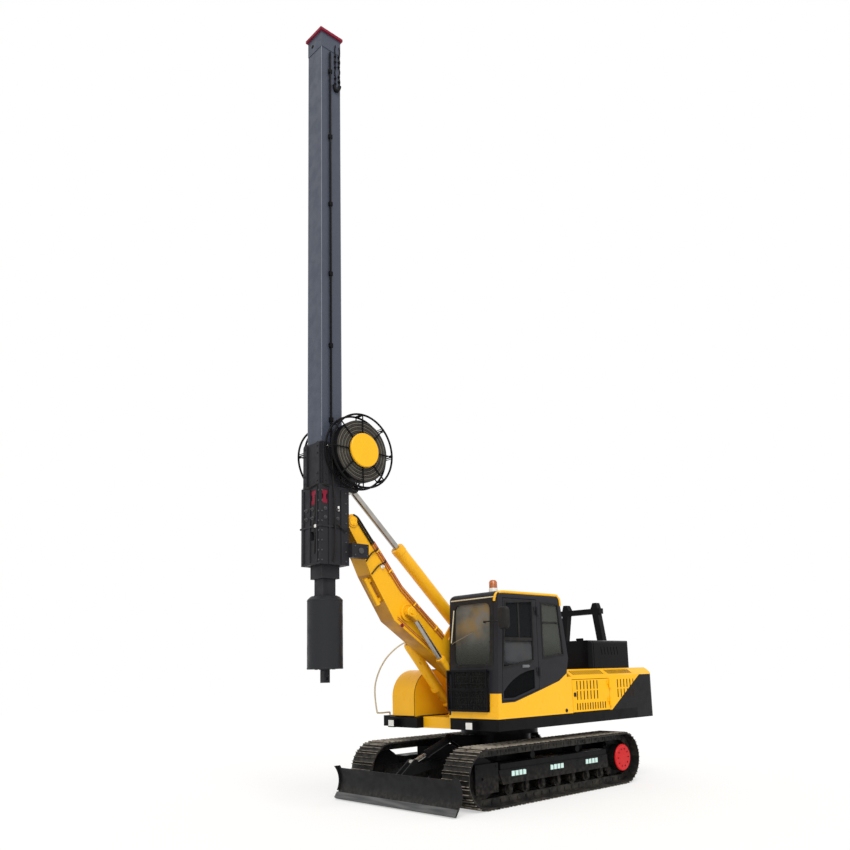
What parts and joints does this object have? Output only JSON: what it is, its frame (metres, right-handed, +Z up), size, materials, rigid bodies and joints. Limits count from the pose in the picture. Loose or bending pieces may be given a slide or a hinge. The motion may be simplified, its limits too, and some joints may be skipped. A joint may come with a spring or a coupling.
{
  "type": "excavator-based rotary piling rig",
  "caption": "Tracked slewing base with cab, dozer blade and bent boom carrying a tilting square telescopic mast, hose reels and a rotary drive head for boring piles.",
  "frame": {"origin": "on the ground under the slewing axis", "axes": "+X to the front of the undercarriage and mast, +Y to the cab side, +Z up"},
  "size_m": [6.044, 2.845, 11.28],
  "materials": {
    "yellow_paint": "semi-gloss",
    "black_paint": "semi-gloss",
    "track_steel": "worn",
    "slate_paint": "satin",
    "cab_grey": "satin",
    "red_paint": "semi-gloss",
    "bright_rod": "polished",
    "worn_steel": "worn",
    "cream_paint": "satin",
    "engine_grey": "matte",
    "lamp": "gloss",
    "amber_lens": "gloss",
    "tinted_glass": "clear",
    "seat_black": "matte"
  },
  "bodies": {
    "undercarriage": {"car_body": "black_paint", "track_frames": "black_paint", "track_left": "track_steel", "track_right": "track_steel", "sprockets": "black_paint", "final_drive_covers": "red_paint", "idlers_and_rollers": "black_paint", "slew_ring": "black_paint"},
    "blade": {"dozer_blade": "black_paint", "blade_cutting_edge": "worn_steel"},
    "blade_barrel": {"blade_barrel": "black_paint"},
    "blade_rod": {"blade_rod": "bright_rod"},
    "upper": {"main_frame": "yellow_paint", "side_decks": "black_paint", "counterweight": "black_paint", "engine_block": "engine_grey", "engine_housing": "yellow_paint", "hood_front": "black_paint", "fuel_tank": "yellow_paint", "front_box": "yellow_paint", "mast_cradle": "black_paint", "handrail": "cream_paint", "work_lights": "lamp", "beacon": "amber_lens", "cab_base": "yellow_paint", "cab_left": "cab_grey", "cab_right": "cab_grey", "cab_front": "cab_grey", "cab_rear": "cab_grey", "cab_roof": "cab_grey", "cab_glass": "tinted_glass", "cab_interior": "seat_black", "windscreen_guard": "black_paint", "rear_view_mirror": "black_paint"},
    "engine_hood": {"engine_hood": "black_paint"},
    "side_door_left": {"side_door_left": "yellow_paint"},
    "side_door_right": {"side_door_right": "yellow_paint"},
    "cab_door": {"cab_door": "cab_grey", "door_glass": "tinted_glass"},
    "boom": {"boom": "yellow_paint", "boom_fittings": "yellow_paint"},
    "boom_barrels": {"boom_barrels": "yellow_paint"},
    "boom_rods": {"boom_rods": "bright_rod"},
    "tilt_barrel": {"tilt_barrel": "yellow_paint"},
    "tilt_rod": {"tilt_rod": "bright_rod"},
    "mast": {"mast_housing": "black_paint", "mast_tube": "slate_paint", "mast_cap": "red_paint", "mast_lines": "black_paint"},
    "reel_left": {"reel_left": "black_paint", "reel_cover_left": "yellow_paint"},
    "reel_right": {"reel_right": "black_paint", "reel_cover_right": "yellow_paint"},
    "arm_1": {"inner_arm_1": "slate_paint"},
    "arm_2": {"inner_arm_2": "slate_paint", "drive_head": "slate_paint"},
    "drive_stub": {"drive_stub": "slate_paint"}
  },
  "joints": [
    {"name": "slew", "type": "hinge", "parent": "undercarriage", "child": "upper", "pos_m": [0, 0, 1], "axis": [0, 0, 1], "continuous": true},
    {"name": "boom_lift", "type": "hinge", "parent": "upper", "child": "boom", "pos_m": [0.52, 0, 1.56], "axis": [0, -1, 0], "range_deg": [-25, 10]},
    {"name": "boom_barrel_swing", "type": "hinge", "parent": "upper", "child": "boom_barrels", "pos_m": [0.88, 0, 1.33], "axis": [0, -1, 0], "range_deg": [-27.7, 11.68]},
    {"name": "boom_rod_slide", "type": "slide", "parent": "boom_barrels", "child": "boom_rods", "axis": [0.6489, 0, 0.7609], "range_m": [-0.186, 0.08]},
    {"name": "mast_tilt", "type": "hinge", "parent": "boom", "child": "mast", "pos_m": [2.96, 0, 3.87], "axis": [0, 1, 0], "range_deg": [-90, 5]},
    {"name": "tilt_barrel_swing", "type": "hinge", "parent": "boom", "child": "tilt_barrel", "pos_m": [0.85, 0, 2.5], "axis": [0, 1, 0], "range_deg": [-1.07, 2.33]},
    {"name": "tilt_rod_slide", "type": "slide", "parent": "tilt_barrel", "child": "tilt_rod", "axis": [0.7365, 0, 0.6765], "range_m": [-0.711, 0.049]},
    {"name": "arm_extend", "type": "slide", "parent": "mast", "child": "arm_1", "axis": [0, 0, -1], "range_m": [0, 5.5]},
    {"name": "arm_2_extend", "type": "slide", "parent": "arm_1", "child": "arm_2", "axis": [0, 0, -1], "range_m": [0, 5.5]},
    {"name": "head_spin", "type": "hinge", "parent": "arm_2", "child": "drive_stub", "pos_m": [3.31, 0, 1.885], "axis": [0, 0, 1], "continuous": true},
    {"name": "reel_left_spin", "type": "hinge", "parent": "mast", "child": "reel_left", "pos_m": [2.96, 0.325, 4.81], "axis": [0, 1, 0], "continuous": true},
    {"name": "reel_right_spin", "type": "hinge", "parent": "mast", "child": "reel_right", "pos_m": [2.96, -0.325, 4.81], "axis": [0, 1, 0], "continuous": true},
    {"name": "blade_lift", "type": "hinge", "parent": "undercarriage", "child": "blade", "pos_m": [0.9, 0, 0.42], "axis": [0, -1, 0], "range_deg": [-10, 20]},
    {"name": "blade_barrel_swing", "type": "hinge", "parent": "undercarriage", "child": "blade_barrel", "pos_m": [1.06, 0, 0.85], "axis": [0, -1, 0], "range_deg": [-11.49, 21.97]},
    {"name": "blade_rod_slide", "type": "slide", "parent": "blade_barrel", "child": "blade_rod", "axis": [0.9343, 0, -0.3565], "range_m": [-0.167, 0.089]},
    {"name": "cab_door_swing", "type": "hinge", "parent": "upper", "child": "cab_door", "pos_m": [0.49, 1.285, 1.7], "axis": [0, 0, 1], "range_deg": [0, 165]},
    {"name": "engine_hood_lift", "type": "hinge", "parent": "upper", "child": "engine_hood", "pos_m": [-1.11, 0, 2.27], "axis": [0, 1, 0], "range_deg": [0, 60]},
    {"name": "side_door_left_swing", "type": "hinge", "parent": "upper", "child": "side_door_left", "pos_m": [-1.2, 1.285, 1.4], "axis": [0, 0, 1], "range_deg": [0, 110]},
    {"name": "side_door_right_swing", "type": "hinge", "parent": "upper", "child": "side_door_right", "pos_m": [-1.2, -1.285, 1.4], "axis": [0, 0, -1], "range_deg": [0, 110]}
  ],
  "couplings": [
    {"joint": "boom_barrel_swing", "follows": "boom_lift", "ratio": 1.068},
    {"joint": "boom_rod_slide", "follows": "boom_lift", "m_per_rad": 0.4025},
    {"joint": "tilt_barrel_swing", "follows": "mast_tilt", "ratio": -0.0148},
    {"joint": "tilt_rod_slide", "follows": "mast_tilt", "m_per_rad": 0.446},
    {"joint": "arm_2_extend", "follows": "arm_extend", "ratio": 1},
    {"joint": "blade_barrel_swing", "follows": "blade_lift", "ratio": 1.0486},
    {"joint": "blade_rod_slide", "follows": "blade_lift", "m_per_rad": -0.4509}
  ]
}
